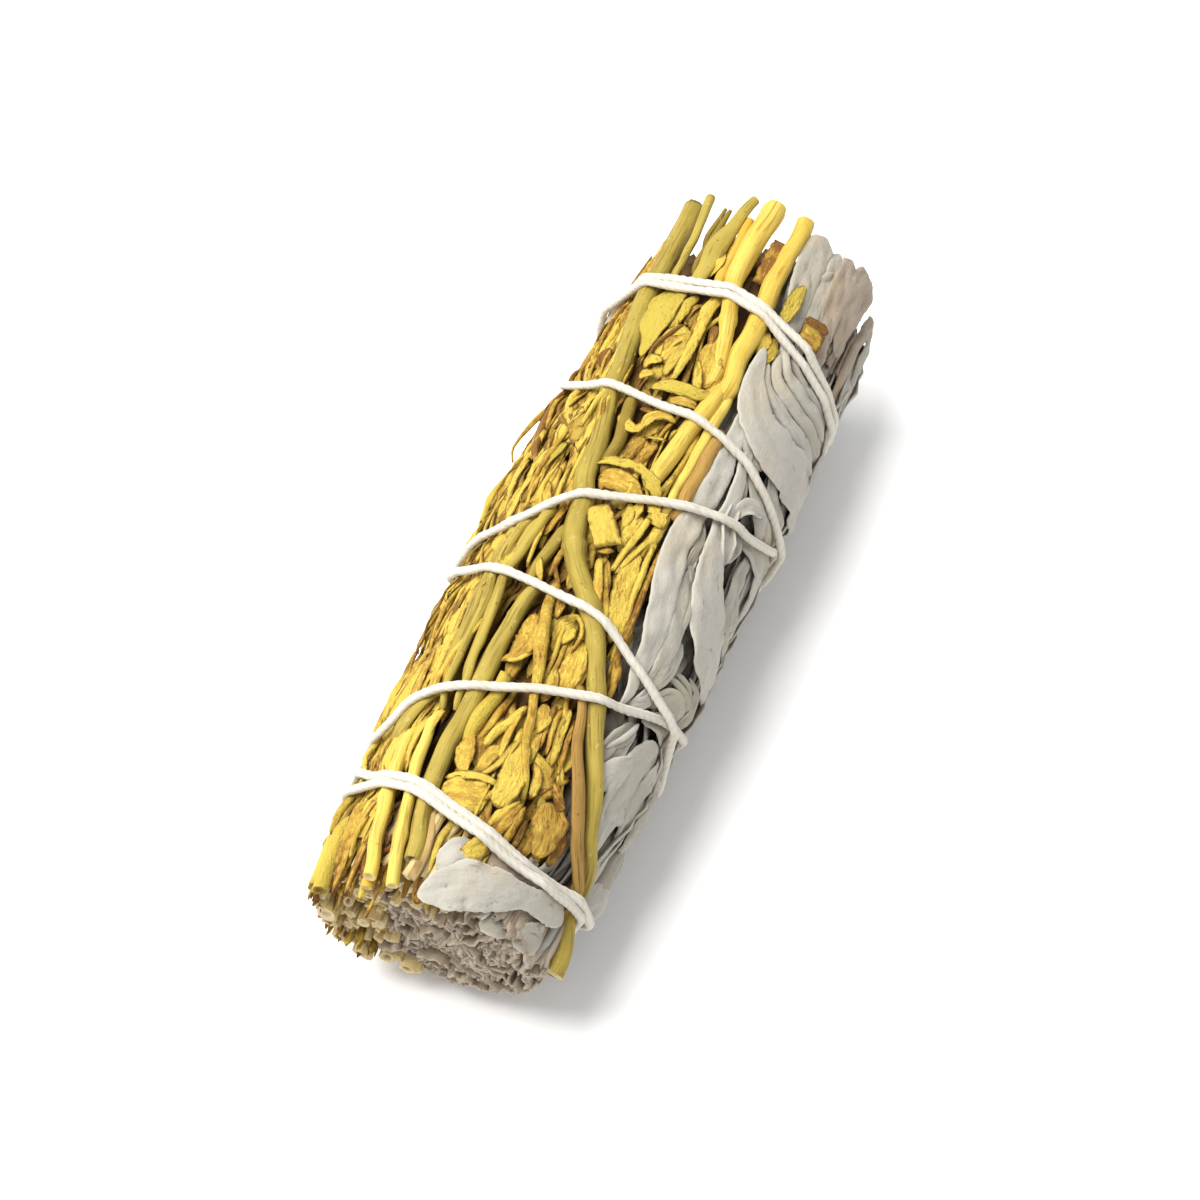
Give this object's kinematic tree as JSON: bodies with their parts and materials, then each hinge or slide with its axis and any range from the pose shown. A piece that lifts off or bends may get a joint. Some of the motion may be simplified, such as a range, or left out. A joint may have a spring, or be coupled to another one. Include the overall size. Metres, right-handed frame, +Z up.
{
  "type": "smudge stick",
  "caption": "Smudge stick: dried white sage leaves on one side and yellow flower stalks on the other, pressed into a thick round stick and bound by cotton string that climbs it and returns.",
  "frame": {"origin": "middle of the base of the stick's bounding box, on the surface it lies on", "axes": "+X along the stick towards the far end, where the long yellow stems stick out; +Z up as it lies; the sage side faces -Y"},
  "size_m": [0.105, 0.038, 0.0342],
  "materials": {
    "sage_leaf": "matte, velvety dried leaf",
    "brown_sage_leaf": "matte dried leaf",
    "cut_sage": "matte cut edges of pressed leaves",
    "cut_stalks": "matte cut stalks",
    "yellow_flower": "papery, slightly waxy",
    "yellow_stem": "smooth dried stem, slight sheen",
    "olive_stem": "smooth dried stem, slight sheen",
    "straw_stem": "rough dried bark",
    "cotton_string": "soft twisted cotton"
  },
  "bodies": {
    "root": {"main_stem": "olive_stem", "hollow_stem": "olive_stem", "thin_stem_1": "olive_stem", "thin_stem_2": "olive_stem", "far_stem_3": "olive_stem", "far_stem_4": "olive_stem", "far_stem_5": "olive_stem", "near_stem_1": "yellow_stem", "near_stem_2": "yellow_stem", "far_stem_1": "yellow_stem", "far_stem_2": "yellow_stem", "brown_stem": "straw_stem", "lower_stem": "straw_stem", "side_stem": "straw_stem", "flower_head_near": "yellow_flower", "flower_head_middle": "yellow_flower", "flower_head_pointed": "yellow_flower", "flower_head_low": "yellow_flower", "torn_petals": "yellow_flower", "curled_petals": "yellow_flower", "leafy_bract": "yellow_flower", "far_petals": "yellow_flower", "ridge_flowers_1": "yellow_flower", "ridge_flowers_2": "yellow_flower", "ridge_flowers_3": "yellow_flower", "ridge_flowers_4": "yellow_flower", "ridge_flowers_5": "yellow_flower", "ridge_flowers_6": "yellow_flower", "ridge_flowers_7": "yellow_flower", "back_flowers_1": "yellow_flower", "back_flowers_2": "yellow_flower", "end_leaf": "sage_leaf", "long_leaf": "sage_leaf", "lens_leaf": "sage_leaf", "broad_leaf": "sage_leaf", "curled_leaf": "sage_leaf", "narrow_leaf": "sage_leaf", "draped_leaf": "sage_leaf", "folded_leaf": "sage_leaf", "far_leaf_1": "sage_leaf", "far_leaf_3": "sage_leaf", "near_leaf_1": "sage_leaf", "near_leaf_2": "sage_leaf", "near_leaf_3": "sage_leaf", "side_leaf_1": "sage_leaf", "side_leaf_2": "sage_leaf", "side_leaf_3": "sage_leaf", "side_leaf_4": "sage_leaf", "under_leaf_1": "sage_leaf", "under_leaf_2": "sage_leaf", "under_leaf_3": "sage_leaf", "resting_leaf": "sage_leaf", "far_leaf_2": "brown_sage_leaf", "centre_sprig": "cut_sage", "inner_sprig_1": "cut_sage", "inner_sprig_2": "cut_sage", "inner_sprig_3": "cut_sage", "inner_stalks_1": "cut_stalks", "inner_stalks_2": "cut_stalks", "string": "cotton_string"}
  },
  "joints": []
}
